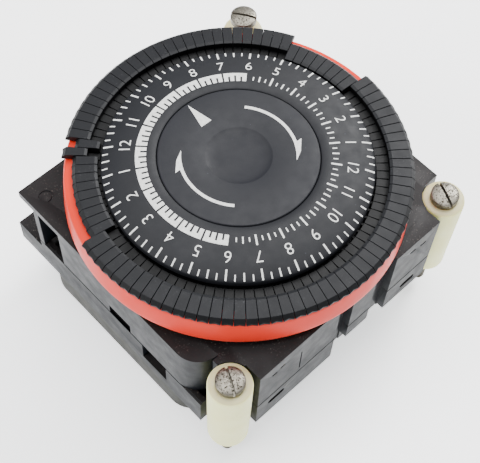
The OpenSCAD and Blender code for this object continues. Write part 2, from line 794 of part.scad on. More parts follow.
// the feet of the two fixed contacts and of the blade
contact_tails = [[-21.3, -4], [-18.6, -4], [-17.5, -18.0]];

module tail(p) {
    box(p[0], p[1], 23.5, p[0] + 0.5, p[1] + 2, 28.4);
}

module switch_case() {
    case_wall = 0.9;
    color([0.12, 0.12, 0.13]) difference() {
        box(case_x0, case_y0, case_z0, case_x1, case_y1, case_z1);
        box(case_x0 + case_wall, case_y0 + case_wall, case_z0 + case_wall, case_x1 - case_wall,
            case_y1 - case_wall, case_z1 - case_wall);
        box(case_x0 - 1, finger_at[1] - 1.05, 28.75, case_x0 + 2, finger_at[1] + 1.05, 30.85);
        for (p = contact_tails) box(p[0] - 0.05, p[1] - 0.05, case_z0 - 1, p[0] + 0.55,
            p[1] + 2.05, case_z0 + 1.2);
    }
}

module switch_plunger() {
    color([0.88, 0.87, 0.82]) {
        box(-24.3, finger_at[1] - 1.0, 28.8, -20.4, finger_at[1] + 1.0, 30.8);
        box(-21.7, finger_at[1] - 1.6, 28.2, -20.9, finger_at[1] + 1.6, 31.4);
    }
}

module switch_blade() {
    color([0.80, 0.50, 0.28]) {
        box(-20.1, -16.6, 28.6, -19.85, -4.0, 31.0);
        box(-20.1, -16.85, 28.6, -17.0, -16.6, 31.0);
        box(-17.5, -18.0, 28.3, -17.0, -16.6, 31.0);
        tail(contact_tails[2]);
        box(-20.5, -5.6, 29.2, -19.4, -4.4, 30.4);
    }
}

module switch_contacts() {
    color([0.82, 0.80, 0.62]) {
        box(-21.3, -6.0, 27.4, -20.8, -0.0, 31.2);
        box(-18.6, -6.0, 27.4, -18.1, -0.0, 31.2);
        box(-20.85, -5.6, 29.2, -20.55, -4.4, 30.4);
        box(-18.8, -5.6, 29.2, -18.5, -4.4, 30.4);
        tail(contact_tails[0]);
        tail(contact_tails[1]);
    }
}

upper_shell();
lower_shell();
rear_cover();
mounting_spacers();
mounting_screws();
shell_screws();
cover_screws();
terminal_tabs();
tappet_ring();
tappet_carrier();
dial_face();
dial_gear();
centre_disc();
dial_spindle();
spindle_clip();
dial_spring_washer();
drive_arbor();
clutch_spring();
clutch_wheel();
second_wheel();
first_wheel();
wheel_axles();
bearing_bridge();
bridge_screws();
rotor_magnet();
rotor_shaft();
stator_cup_upper();
stator_cup_lower();
coil_bobbin();
coil_winding();
coil_leads();
follower_lever();
lever_pivot();
lever_spring();
switch_case();
switch_plunger();
switch_blade();
switch_contacts();
outer_tappets_night();
outer_tappets_morning();
outer_tappets_day();
pushed_tappet(23);  // tappet_23
tappet_24();
pushed_tappet(25);  // tappet_25
pushed_tappet(26);  // tappet_26
pushed_tappet(27);  // tappet_27
pushed_tappet(28);  // tappet_28
pushed_tappet(29);  // tappet_29
pushed_tappet(30);  // tappet_30
pushed_tappet(31);  // tappet_31
pushed_tappet(32);  // tappet_32
pushed_tappet(33);  // tappet_33
pushed_tappet(84);  // tappet_84
pushed_tappet(85);  // tappet_85
pushed_tappet(86);  // tappet_86
pushed_tappet(87);  // tappet_87
pushed_tappet(88);  // tappet_88
pushed_tappet(89);  // tappet_89
pushed_tappet(90);  // tappet_90
pushed_tappet(91);  // tappet_91
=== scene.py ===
import json
import math

import bmesh
import bpy
from mathutils import Matrix, Vector


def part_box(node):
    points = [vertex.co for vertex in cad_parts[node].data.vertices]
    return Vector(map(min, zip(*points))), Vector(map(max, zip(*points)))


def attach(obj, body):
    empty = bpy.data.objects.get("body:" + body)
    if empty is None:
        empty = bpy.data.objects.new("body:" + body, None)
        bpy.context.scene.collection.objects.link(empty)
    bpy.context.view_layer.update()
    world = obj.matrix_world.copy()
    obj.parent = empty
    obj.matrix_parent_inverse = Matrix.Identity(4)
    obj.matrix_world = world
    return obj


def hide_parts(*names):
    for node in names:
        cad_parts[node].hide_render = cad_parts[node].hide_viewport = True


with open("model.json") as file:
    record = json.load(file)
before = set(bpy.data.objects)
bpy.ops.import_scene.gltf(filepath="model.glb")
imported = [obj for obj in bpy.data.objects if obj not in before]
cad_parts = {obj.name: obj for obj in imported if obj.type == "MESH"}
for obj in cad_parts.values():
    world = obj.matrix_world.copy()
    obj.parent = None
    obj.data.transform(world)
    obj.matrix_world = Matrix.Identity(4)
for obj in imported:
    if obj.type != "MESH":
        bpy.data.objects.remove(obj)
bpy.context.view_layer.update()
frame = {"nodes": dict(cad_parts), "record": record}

# Lengths below are in millimetres, angles in degrees; MM turns them into metres.
MM = 0.001

# ---------- the dial's driving dimensions ----------
TAPPETS = 96
PITCH = 360 / TAPPETS
FIRST_TICK = 41.5
QUARTERS = 4
HOURS = 24
FIRST_HOUR = 6
PUSHED_IN = [23] + list(range(25, 34)) + list(range(84, 92))
TRAVEL = 2.2
POINTER_AT = 87.8

disc_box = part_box("centre_disc")
PLATE_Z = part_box("mounting_spacers")[1][2] / MM
DISC_Z = disc_box[1][2] / MM
SCREW_XY = 30.0


# ---------- small helpers ----------

def polar(r, a):
    """A point at radius r and angle a, in degrees."""
    return (r * math.cos(math.radians(a)), r * math.sin(math.radians(a)))


def srgb(code):
    """An RGBA colour in linear light from a hex code."""
    parts = [int(code[i:i + 2], 16) / 255 for i in (1, 3, 5)]
    return [c / 12.92 if c < 0.04045 else ((c + 0.055) / 1.055) ** 2.4 for c in parts] + [1.0]


def scaled(colour, k):
    """The same colour, k times as bright."""
    return [min(1.0, c * k) for c in colour[:3]] + [1.0]


def between(points, x):
    """The height at x on a line through points, which run from small to large x."""
    for (x0, y0), (x1, y1) in zip(points, points[1:]):
        if x <= x1:
            return y0 + (y1 - y0) * (x - x0) / (x1 - x0)
    return points[-1][1]


# ---------- materials ----------

class Nodes:
    """Builds one material's node tree."""

    def __init__(self, name):
        self.material = bpy.data.materials.new(name)
        self.material.use_nodes = True
        self.tree = self.material.node_tree
        self.shader = self.tree.nodes["Principled BSDF"]
        self.coords = self.tree.nodes.new("ShaderNodeTexCoord").outputs["Object"]

    def node(self, kind, inputs=None, **settings):
        """Adds a node; inputs are values or sockets, by name or number."""
        made = self.tree.nodes.new(kind)
        for key, value in settings.items():
            setattr(made, key, value)
        for key, value in (inputs or {}).items():
            if isinstance(value, bpy.types.NodeSocket):
                self.tree.links.new(value, made.inputs[key])
            else:
                made.inputs[key].default_value = value
        return made

    def stretched(self, scale):
        """The object's coordinates, scaled differently along each axis."""
        return self.node("ShaderNodeMapping", {"Vector": self.coords, "Scale": scale}).outputs[0]

    def noise(self, size, detail=4, rough=0.55, vector=None):
        """Noise whose blobs are about size millimetres across."""
        return self.node("ShaderNodeTexNoise", {
            "Vector": vector or self.coords, "Scale": 1 / (size * MM), "Detail": detail,
            "Roughness": rough}).outputs["Fac"]

    def band(self, value, low, high, to_low=0.0, to_high=1.0):
        """Maps low..high to to_low..to_high, clamped."""
        return self.node("ShaderNodeMapRange", {
            "Value": value, "From Min": low, "From Max": high, "To Min": to_low,
            "To Max": to_high}).outputs["Result"]

    def maths(self, operation, a, b):
        return self.node("ShaderNodeMath", {0: a, 1: b}, operation=operation).outputs[0]

    def mix(self, factor, a, b):
        made = self.node("ShaderNodeMix", data_type="RGBA")
        for socket, value in ((made.inputs["Factor"], factor), (made.inputs["A"], a),
                              (made.inputs["B"], b)):
            if isinstance(value, bpy.types.NodeSocket):
                self.tree.links.new(value, socket)
            else:
                socket.default_value = value
        return made.outputs["Result"]

    def facing_up(self):
        """1 on faces that look up, 0 on walls and undersides."""
        normal = self.node("ShaderNodeNewGeometry").outputs["Normal"]
        up = self.node("ShaderNodeSeparateXYZ", {0: normal}).outputs["Z"]
        return self.band(up, 0.55, 0.9)

    def edges(self, radius):
        """1 along sharp edges, 0 on flats."""
        rounded = self.node("ShaderNodeBevel", {"Radius": radius * MM}, samples=6).outputs[0]
        normal = self.node("ShaderNodeNewGeometry").outputs["Normal"]
        dot = self.node("ShaderNodeVectorMath", {0: rounded, 1: normal},
                        operation="DOT_PRODUCT").outputs["Value"]
        return self.band(dot, 0.99, 0.9)

    def colour(self, socket):
        self.tree.links.new(socket, self.shader.inputs["Base Color"])

    def roughness(self, socket):
        self.tree.links.new(socket, self.shader.inputs["Roughness"])

    def bump(self, *layers):
        """Each layer is (height socket, depth in millimetres)."""
        normal = None
        for height, depth in layers:
            inputs = {"Height": height, "Distance": depth * MM, "Strength": 1.0}
            if normal:
                inputs["Normal"] = normal
            normal = self.node("ShaderNodeBump", inputs).outputs[0]
        self.tree.links.new(normal, self.shader.inputs["Normal"])

    def set(self, **values):
        for key, value in values.items():
            self.shader.inputs[key.replace("_", " ")].default_value = value
        return self.material


def moulded_plastic(name, base, rough, mottle=0.12, grain=0.012, dust=None, dust_amount=0.0,
                    edge_wear_and_highlight=0.0, shaded_sides=None, gloss=0.5, shaded_below=None):
    """A satin moulding: mottled tone, fine grain, dust on top; edges lightened in patches, partly
    rubbed wear and partly painted highlight; painted shade on sides and undersides, and painted
    shade below a given height.
    """
    n = Nodes(name)
    tone = n.noise(9, 5)
    fine = n.noise(0.22, 3)
    body = n.mix(n.band(tone, 0.3, 0.7), scaled(base, 1 - mottle), scaled(base, 1 + mottle))
    # Sides and undersides take a darker colour: painted shade.
    if shaded_sides:
        body = n.mix(n.facing_up(), shaded_sides, body)
    # Edges lightened in patches: partly rubbed wear, partly a painted edge highlight.
    if edge_wear_and_highlight:
        rubbed_and_highlit = n.maths("MULTIPLY", n.edges(0.25), n.band(n.noise(1.3, 4), 0.35, 0.7, 0, edge_wear_and_highlight))
        body = n.mix(rubbed_and_highlit, body, scaled(base, 3.2))
    if dust_amount:
        patches = n.band(n.noise(5, 3), 0.4, 0.65)
        grit = n.band(n.noise(0.38, 3, 0.5), 0.6, 0.72, 0, dust_amount)
        settled = n.maths("MULTIPLY", n.facing_up(), n.maths("MULTIPLY", patches, grit))
        body = n.mix(settled, body, dust)
    # Below the given height the colour drops to a quarter: painted shade in the trench.
    if shaded_below:
        height = n.node("ShaderNodeSeparateXYZ", {0: n.coords}).outputs["Z"]
        body = n.mix(n.band(height, shaded_below * MM, (shaded_below - 0.2) * MM), body, scaled(base, 0.25))
    n.colour(body)
    n.roughness(n.band(n.noise(3, 4), 0.3, 0.7, rough - 0.06, rough + 0.07))
    n.bump((fine, grain), (tone, grain * 2))
    n.set(Specular_IOR_Level=gloss, IOR=1.4)
    return n


def printed_face(name, base):
    """The dial's printed plastic: a fine satin skin, faint haze and a few specks of dust."""
    n = Nodes(name)
    haze = n.noise(14, 4)
    specks = n.band(n.noise(0.7, 2, 0.4), 0.77, 0.79)
    body = n.mix(n.band(haze, 0.3, 0.7), scaled(base, 0.9), scaled(base, 1.12))
    n.colour(n.mix(specks, body, scaled(base, 4.0)))
    n.roughness(n.band(n.noise(2.2, 5), 0.3, 0.7, 0.5, 0.62))
    n.bump((n.noise(0.16, 2), 0.008), (n.noise(5, 3), 0.03))
    n.set(Specular_IOR_Level=0.25)
    return n.material


def ink(name):
    """White printing ink, a little uneven and worn."""
    n = Nodes(name)
    thin = n.band(n.noise(0.5, 4, 0.7), 0.35, 0.75)
    n.colour(n.mix(thin, srgb("#dcdcd8"), srgb("#b4b5b4")))
    n.roughness(n.band(n.noise(0.4, 3), 0.3, 0.7, 0.5, 0.7))
    n.bump((n.noise(0.12, 2), 0.004))
    return n.material


def red_gloss(name):
    """The ring's orange-red glossy plastic, with a painted highlight along its bottom edge."""
    n = Nodes(name)
    tone = n.noise(12, 3)
    body = n.mix(n.band(tone, 0.3, 0.7), srgb("#cd2b1b"), srgb("#d83624"))
    # The lowest quarter millimetre is paler: a painted highlight along the bottom edge.
    height = n.node("ShaderNodeSeparateXYZ", {0: n.coords}).outputs["Z"]
    n.colour(n.mix(n.band(height, 37.9 * MM, 37.75 * MM), body, srgb("#e0876f")))
    n.roughness(n.band(n.noise(4, 4), 0.3, 0.7, 0.3, 0.42))
    n.bump((n.noise(0.5, 2), 0.004), (n.noise(6, 2), 0.02))
    n.set(Specular_IOR_Level=0.2, IOR=1.25, Subsurface_Weight=0.08, Subsurface_Scale=0.002)
    n.shader.inputs["Subsurface Radius"].default_value = (1.0, 0.25, 0.1)
    return n.material


def milky_nylon(name):
    """The spacers' natural nylon: milky, a little yellowed, light shines into it."""
    n = Nodes(name)
    tone = n.noise(6, 4)
    body = n.mix(n.band(tone, 0.3, 0.7), srgb("#dedd90"), srgb("#e8e8ae"))
    n.colour(n.mix(n.facing_up(), body, srgb("#c2bb8d")))
    n.roughness(n.band(n.noise(1.5, 4), 0.3, 0.7, 0.32, 0.48))
    n.bump((n.noise(0.3, 3), 0.01), (n.noise(3, 2), 0.03))
    n.set(Subsurface_Weight=0.6, Subsurface_Scale=0.003)
    n.shader.inputs["Subsurface Radius"].default_value = (1.0, 0.9, 0.65)
    return n.material


def metal(name, base, rough, pits=0.0, brushed=False):
    """Plated metal: fine scratches, and pits or stains where it is old."""
    n = Nodes(name)
    vector = n.stretched((1.0, 1.0, 0.08)) if brushed else None
    fine = n.noise(0.12, 3, vector=vector)
    stain = n.noise(1.1, 6, 0.7)
    body = n.mix(n.band(stain, 0.35, 0.7), base, scaled(base, 0.72))
    layers = [(fine, 0.006)]
    if pits:
        holes = n.band(n.noise(0.34, 4, 0.6), 0.54, 0.64)
        body = n.mix(n.maths("MULTIPLY", holes, pits), body, srgb("#2e2922"))
        layers.append((n.maths("SUBTRACT", 1.0, holes), 0.05 * pits))
    n.colour(body)
    n.roughness(n.band(stain, 0.3, 0.7, rough - 0.06, rough + 0.16))
    n.bump(*layers)
    n.set(Metallic=1.0)
    return n.material


def wound_copper(name):
    """Enamelled wire wound round the bobbin, turn beside turn, with painted shade in the grooves
    between turns.
    """
    n = Nodes(name)
    turns = n.node("ShaderNodeTexWave", {"Vector": n.coords, "Scale": 1100.0, "Distortion": 0.6},
                   wave_type="BANDS", bands_direction="Z").outputs["Fac"]
    # The dark bands between turns are painted shade.
    n.colour(n.mix(turns, srgb("#5a2a12"), srgb("#b5642e")))
    n.roughness(n.band(turns, 0, 1, 0.5, 0.3))
    n.bump((turns, 0.08))
    n.set(Metallic=0.7)
    return n.material


def insulation(name, base):
    """Soft wire insulation."""
    n = Nodes(name)
    n.colour(n.mix(n.band(n.noise(2, 3), 0.3, 0.7), scaled(base, 0.85), base))
    n.roughness(n.band(n.noise(0.8, 3), 0.3, 0.7, 0.42, 0.58))
    n.bump((n.noise(0.3, 2), 0.01))
    return n.material


DUST = srgb("#77716a")
# The shell's darker sides are painted shade; the lighter edges of shell and cover are partly
# painted highlight.
SHELL = moulded_plastic("shell_plastic", srgb("#161314"), 0.44, mottle=0.1, dust=DUST,
                        dust_amount=0.45, edge_wear_and_highlight=0.3, shaded_sides=srgb("#0e1116"), gloss=0.2).material
COVER = moulded_plastic("cover_plastic", srgb("#2c2c26"), 0.5, edge_wear_and_highlight=0.3, gloss=0.25).material
# The tappets' darker sides, sloped outer ends and trench below 44.7 mm are painted shade; their
# lighter edges are partly painted highlight.
TAPPET = moulded_plastic("tappet_plastic", srgb("#121316"), 0.48, mottle=0.08, grain=0.006,
                         dust=srgb("#55565a"), dust_amount=0.3, edge_wear_and_highlight=0.3,
                         shaded_sides=srgb("#040405"), gloss=0.25, shaded_below=44.7).material
# Black matte plastic standing for the shade in the shell seam: painted shadow.
SEAM_SHADE = moulded_plastic("seam_painted_shadow", srgb("#050506"), 0.9, gloss=0.0).material
FACE = printed_face("face_plastic", srgb("#141519"))
DISC = printed_face("disc_plastic", srgb("#15161b"))
# A darker plastic for the finger dimple: painted shade in the recess.
DIMPLE_SHADE = printed_face("dimple_painted_shade", srgb("#101117"))
INK = ink("white_ink")
RED = red_gloss("red_plastic")
NYLON = milky_nylon("spacer_nylon")
NICKEL = metal("old_nickel", srgb("#7c786e"), 0.36, pits=1.0)
ZINC = metal("zinc_plate", srgb("#8d9196"), 0.36)
SPRING = metal("spring_steel", srgb("#999da1"), 0.28, brushed=True)
TIN = metal("tinned_brass", srgb("#b0a98f"), 0.3)
BRONZE = metal("phosphor_bronze", srgb("#a87438"), 0.34)
ACETAL = moulded_plastic("acetal", srgb("#bcb8a8"), 0.4, mottle=0.04, grain=0.005).material
FERRITE = moulded_plastic("ferrite", srgb("#26262a"), 0.6, mottle=0.2, grain=0.02).material
# Its lighter edges are partly painted highlight.
BLACK = moulded_plastic("switch_plastic", srgb("#161618"), 0.45, edge_wear_and_highlight=0.3).material
COPPER = wound_copper("coil_copper")
WIRE = insulation("lead_insulation", srgb("#a02018"))

NODE_MATERIALS = {
    "housing_brown": SHELL, "cover_olive": COVER, "ivory": NYLON, "nickel": NICKEL,
    "zinc": ZINC, "tinned": TIN, "ring_red": RED, "charcoal": TAPPET, "acetal": ACETAL,
    "ferrite": FERRITE, "copper": COPPER, "lead_red": WIRE, "spring_steel": SPRING,
    "bronze": BRONZE, "black_case": BLACK}

node_slot = {entry["node"]: entry["material_slot"] for entry in frame["record"]["subparts"]}
for node_name, node_object in frame["nodes"].items():
    for material_slot in node_object.material_slots:
        material_slot.material = NODE_MATERIALS[node_slot[node_name]]


# ---------- mesh building ----------

def finish_piece(name, mesh_data, material, body, replaced=(), smooth=35):
    """Makes the object, sets its shading and says what it rides on and stands for."""
    bpy.context.scene.collection.objects.link(mesh_data)
    mesh_data.name = name
    mesh_data.data.name = name
    mesh_data.data.materials.clear()
    for one in material if isinstance(material, list) else [material]:
        mesh_data.data.materials.append(one)
    mesh_data.data.shade_smooth()
    mesh_data.data.set_sharp_from_angle(angle=math.radians(smooth))
    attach(mesh_data, body)
    if replaced:
        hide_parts(*replaced)
    return mesh_data


def from_bmesh(bm):
    """An unlinked object from a bmesh in millimetres."""
    bmesh.ops.recalc_face_normals(bm, faces=bm.faces)
    bm.transform(Matrix.Scale(MM, 4))
    data = bpy.data.meshes.new("piece")
    bm.to_mesh(data)
    bm.free()
    return bpy.data.objects.new("piece", data)


def revolve(bm, profile, segments=256, centre=(0, 0)):
    """Adds a closed profile of (radius, height) turned about a vertical axis."""
    rings = []
    for k in range(segments):
        c, s = polar(1, 360 * k / segments)
        rings.append([bm.verts.new((centre[0] + r * c, centre[1] + r * s, z)) for r, z in profile])
    count = len(profile)
    for k in range(segments):
        here, there = rings[k], rings[(k + 1) % segments]
        for i in range(count):
            j = (i + 1) % count
            if profile[i][0] > 0 or profile[j][0] > 0:
                bm.faces.new((here[i], there[i], there[j], here[j]))
    bmesh.ops.remove_doubles(bm, verts=bm.verts, dist=1e-5)


def prism(bm, outline, bottom, top):
    """Adds an upright solid; bottom and top are heights, or functions of (x, y)."""
    def height(rule, x, y):
        return rule(x, y) if callable(rule) else rule
    low = [bm.verts.new((x, y, height(bottom, x, y))) for x, y in outline]
    high = [bm.verts.new((x, y, height(top, x, y))) for x, y in outline]
    caps = [bm.faces.new(low), bm.faces.new(high)]
    for cap in caps:
        cap.normal_update()
    count = len(outline)
    for i in range(count):
        j = (i + 1) % count
        bm.faces.new((low[i], low[j], high[j], high[i]))
    bmesh.ops.triangulate(bm, faces=caps)


def slab(bm, x0, y0, x1, y1, bottom, top):
    """Adds a box between two corners and two heights."""
    prism(bm, [(x0, y0), (x1, y0), (x1, y1), (x0, y1)], bottom, top)


def copied(node):
    """An unlinked copy of a CAD piece, its flat faces made whole."""
    source = frame["nodes"][node]
    bm = bmesh.new()
    bm.from_mesh(source.data)
    bm.transform(source.matrix_world)
    bmesh.ops.remove_doubles(bm, verts=bm.verts, dist=1e-6)
    bmesh.ops.dissolve_limit(bm, angle_limit=math.radians(0.4), verts=bm.verts, edges=bm.edges)
    data = bpy.data.meshes.new("piece")
    bm.to_mesh(data)
    bm.free()
    return bpy.data.objects.new("piece", data)


def bevelled(made, width, segments=2, angle=30):
    """Rounds the sharp edges of an unlinked object and returns it."""
    bpy.context.scene.collection.objects.link(made)
    rounding = made.modifiers.new("round", "BEVEL")
    rounding.width = width * MM
    rounding.segments = segments
    rounding.limit_method = "ANGLE"
    rounding.angle_limit = math.radians(angle)
    bpy.context.view_layer.update()
    ready = made.evaluated_get(bpy.context.evaluated_depsgraph_get())
    data = bpy.data.meshes.new_from_object(ready)
    result = bpy.data.objects.new("piece", data)
    bpy.data.objects.remove(made)
    return result


# ---------- dial face and its print ----------

FACE_PROFILE = [(16.15, 48.1), (16.4, 48.28), (18.0, 48.24), (20.2, 48.05), (22.5, 47.66),
                (24.8, 47.14), (26.4, 46.52), (26.8, 46.32), (27.0, 46.1)]
LIFT = 0.055
SUNK = -0.1


def face_height(x, y):
    return between(FACE_PROFILE, math.hypot(x, y))


def on_face(lift):
    return lambda x, y: face_height(x, y) + lift


def arc(r, start, end, step=1.0):
    """Points along an arc, ends included."""
    count = max(1, math.ceil(abs(end - start) / step))
    return [polar(r, start + (end - start) * i / count) for i in range(count + 1)]


def radial_mark(bm, a, r0, r1, width, height_at):
    """A printed stroke along a radius."""
    middle = (r0 + r1) / 2
    stroke = [(r0, -width), (middle, -width), (r1, -width), (r1, width), (middle, width),
              (r0, width)]
    turn = Matrix.Rotation(math.radians(a), 2)
    outline = [tuple(turn @ Vector((r, y / 2))) for r, y in stroke]
    prism(bm, outline, height_at(SUNK), height_at(LIFT))


def hour_block(bm, a, height_at):
    """One hour of the white band: solid outside, with three slots from the inner edge."""
    r_in, r_out, gap = 18.04, 20.2, 0.56
    slots = [(1, 1.2), (2, 1.5), (3, 1.2)]
    half_slot = 0.6
    outline = arc(r_out, a + gap, a + QUARTERS * PITCH - gap)
    inner = [polar(r_in, a + QUARTERS * PITCH - gap)]
    for quarter, depth in reversed(slots):
        middle = a + quarter * PITCH
        inner += [polar(r_in, middle + half_slot), polar(r_in + depth, middle + half_slot),
                  polar(r_in + depth, middle - half_slot), polar(r_in, middle - half_slot)]
    inner.append(polar(r_in, a + gap))
    prism(bm, outline + inner, height_at(SUNK), height_at(LIFT))


def dial_numbers(bm):
    """The hours, upright seen from outside, standing on the dome."""
    centre_r, size, squeeze = 22.42, 3.3, 0.98
    for k in range(HOURS):
        hour = (FIRST_HOUR + k - 1) % 12 + 1
        curve = bpy.data.curves.new("hour", "FONT")
        curve.body = str(hour)
        curve.align_x = "CENTER"
        curve.align_y = "CENTER"
        curve.size = size
        curve.extrude = 0.02
        curve.resolution_u = 6
        curve.offset = -0.025
        curve.space_character = 0.92
        text = bpy.data.objects.new("hour", curve)
        bpy.context.scene.collection.objects.link(text)
        data = bpy.data.meshes.new_from_object(
            text.evaluated_get(bpy.context.evaluated_depsgraph_get()))
        a = FIRST_TICK + QUARTERS * PITCH * k
        out = Vector((*polar(1, a), 0))
        right = Vector((out.y, -out.x, 0))
        lows = [v.co.y for v in data.vertices]
        middle = (min(lows) + max(lows)) / 2
        for v in data.vertices:
            place = out * (centre_r + v.co.y - middle) + right * v.co.x * squeeze
            lift = LIFT if v.co.z > 0 else SUNK
            v.co = (place.x, place.y, face_height(place.x, place.y) + lift)
        bm.from_mesh(data)
        bpy.data.objects.remove(text)


def dial_face():
    """The domed face and everything that is printed on it."""
    bm = bmesh.new()
    under = [(27.0, 45.1), (26.7, 44.85), (25.2, 44.85), (23.6, 45.75), (20.2, 46.4),
             (17.6, 46.5), (17.6, 40.2), (16.15, 40.2)]
    revolve(bm, FACE_PROFILE + under, 384)
    finish_piece("dial_face_dome", from_bmesh(bm), FACE, "dial", ["dial_face"], 50)

    bm = bmesh.new()
    outer_r = 26.75
    outer = {0: (2.0, 0.36), 1: (1.15, 0.27), 2: (1.5, 0.31), 3: (1.15, 0.27)}
    inner = {0: (18.04, 20.2, 0.36), 1: (18.45, 19.4, 0.25), 2: (18.3, 19.7, 0.3),
             3: (18.45, 19.4, 0.25)}
    for i in range(TAPPETS):
        a = FIRST_TICK + PITCH * i
        length, width = outer[i % QUARTERS]
        radial_mark(bm, a, outer_r - length, outer_r, width, on_face)
        if i > TAPPETS // 2:
            r0, r1, width = inner[i % QUARTERS]
            radial_mark(bm, a, r0, r1, width, on_face)
        elif i % QUARTERS == 0 and i < TAPPETS // 2:
            hour_block(bm, a, on_face)
    dial_numbers(bm)
    finish_piece("dial_print", from_bmesh(bm), INK, "dial")


# ---------- centre disc ----------

DISH = [(0, -0.55), (3.0, -0.52), (4.6, -0.44), (5.6, -0.33), (6.2, -0.2), (6.5, -0.1),
        (6.7, -0.03)]
DISH_R = 6.7


def arrow(bm, start, sweep, height):
    """A turning arrow: an arc with half an arrow head on its outer side."""
    r_in, r_out, barb_r = 11.25, 11.9, 13.0
    end = start - sweep
    head, barb = 22.0, 24.0
    outline = arc(r_out, start, end + head) + [polar(barb_r, end + barb), polar(12.2, end + 11),
                                               polar(r_in + 0.1, end)]
    outline += arc(r_in, end + 2, start)
    prism(bm, outline, height + SUNK, height)


def centre_disc():
    """The fixed middle disc with its finger dimple, pointer and arrows."""
    bm = bmesh.new()
    dish = [(r, DISC_Z + drop) for r, drop in DISH]
    rim = [(15.7, DISC_Z - 0.03), (15.88, DISC_Z - 0.07), (16.0, DISC_Z - 0.22), (16.0, 46.9),
           (15.8, 46.7), (5.0, 46.7), (5.0, 45.0), (3.0, 45.0), (3.0, 46.4), (0.0, 46.4)]
    revolve(bm, dish + rim, 256)
    plate = finish_piece("centre_disc_plate", from_bmesh(bm), [DISC, DIMPLE_SHADE], "housing",
                         ["centre_disc"], 50)
    # The dish faces take the darker material: painted shade in the dimple.
    for face in plate.data.polygons:
        if math.hypot(*face.center[:2]) < DISH_R * MM and face.center.z > (DISC_Z - 1) * MM:
            face.material_index = 1
    bm = bmesh.new()
    flat = DISC_Z - 0.03 + 0.02
    tip, base_r, base_half = 15.55, 9.75, 1.28
    turn = Matrix.Rotation(math.radians(POINTER_AT), 2)
    prism(bm, [tuple(turn @ Vector(p)) for p in ((tip, 0.0), (base_r, base_half),
                                                 (base_r, -base_half))], flat + SUNK, flat)
    arrow(bm, 41, 89.5, flat)
    arrow(bm, -137.5, 90, flat)
    finish_piece("disc_print", from_bmesh(bm), INK, "housing")


# ---------- tappets and ring ----------

# Half widths of a tappet at its inner end, its shoulder, its tip and its step in the trench.
SLIDING = (0.86, 1.02, 1.0, 0.78)
FIXED = (0.93, 1.075, 1.06, 0.86)


def tappet_slab(bm, widths):
    """The wedge seen from above: crowned top, sloped and notched outer end."""
    under = 44.5
    inner, shoulder, tip = widths[:3]
    side = [(29.8, inner, 45.85), (30.4, inner + 0.02, 46.05), (34.1, shoulder - 0.01, 45.9),
            (34.3, shoulder, 45.68), (34.98, tip, 44.95)]
    rim = [(x, -y, z) for x, y, z in side] + [(34.78, 0, 45.17)] + side[::-1]
    high = [bm.verts.new(p) for p in rim]
    low = [bm.verts.new((x, y, under)) for x, y, z in rim]
    ridge = bm.verts.new((34.1, 0, 45.9))
    for loop in ([0, 1, 9, 10], [1, 2, -1, 8, 9], [2, 3, 4, 5, -1], [-1, 5, 6, 7, 8]):
        bm.faces.new([ridge if k < 0 else high[k] for k in loop])
    bm.faces.new(low)
    for k in range(len(rim)):
        m = (k + 1) % len(rim)
        bm.faces.new((low[k], low[m], high[m], high[k]))


def tappet_mesh(bm, i, shift, widths):
    """One tappet at tick index i, moved in by shift."""
    a = FIRST_TICK + (i + 0.5) * PITCH
    part = bmesh.new()
    tappet_slab(part, widths)
    stem = (29.9, 31.3, 0.5, 37.0, 44.52)
    foot = (30.15, 31.05, 0.35, 36.7, 37.1)
    step = (27.3, 29.92, widths[3], 43.98, 44.49)
    rib = (27.32, 29.92, 0.5, 42.9, 44.1)
    for x0, x1, half, z0, z1 in (stem, foot, step, rib):
        slab(part, x0, -half, x1, half, z0, z1)
    part.transform(Matrix.Rotation(math.radians(a), 4, "Z") @ Matrix.Translation((-shift, 0, 0)))
    data = bpy.data.meshes.new("tappet")
    part.to_mesh(data)
    part.free()
    bm.from_mesh(data)


def tappet_piece(name, indices, shift, body, node, widths=SLIDING):
    """One node's tappets, their edges rounded."""
    bm = bmesh.new()
    for i in indices:
        tappet_mesh(bm, i, shift, widths)
    finish_piece(name, bevelled(from_bmesh(bm), 0.07, 2, 25), TAPPET, body, [node],
                 12)


def tappets():
    """The sliding tappets one by one, the others in three groups."""
    for i in PUSHED_IN:
        tappet_piece(f"tappet_{i}_slider", [i], TRAVEL, f"tappet_{i}", f"tappet_{i}")
    tappet_piece("tappet_24_slider", [24], 0, "tappet_24", "tappet_24")
    groups = {"night": range(-4, 23), "morning": range(34, 59), "day": range(59, 84)}
    for name, indices in groups.items():
        tappet_piece(f"tappets_{name}", indices, 0, "dial", f"outer_tappets_{name}", FIXED)


def red_ring():
    """The band round the tappets, a little narrower at its top."""
    bm = bmesh.new()
    profile = [(31.6, 37.62), (34.76, 37.62), (34.9, 37.67), (34.97, 37.8), (34.96, 38.3),
               (34.56, 43.0), (34.5, 43.4), (34.38, 43.7), (34.2, 43.9), (33.95, 44.04),
               (33.6, 44.09), (31.6, 44.09)]
    revolve(bm, profile, 384)
    finish_piece("tappet_ring_band", from_bmesh(bm), RED, "dial", ["tappet_ring"], 60)


def housing():
    """The three mouldings of the housing with their sharp edges rounded."""
    for node, material, slot, width in (("upper_shell", SHELL, "housing_brown", 0.14),
                                        ("lower_shell", SHELL, "housing_brown", 0.12),
                                        ("rear_cover", COVER, "cover_olive", 0.25)):
        finish_piece(f"{node}_moulding", bevelled(copied(node), width, 2, 40), material,
                     "housing", [node], 22)


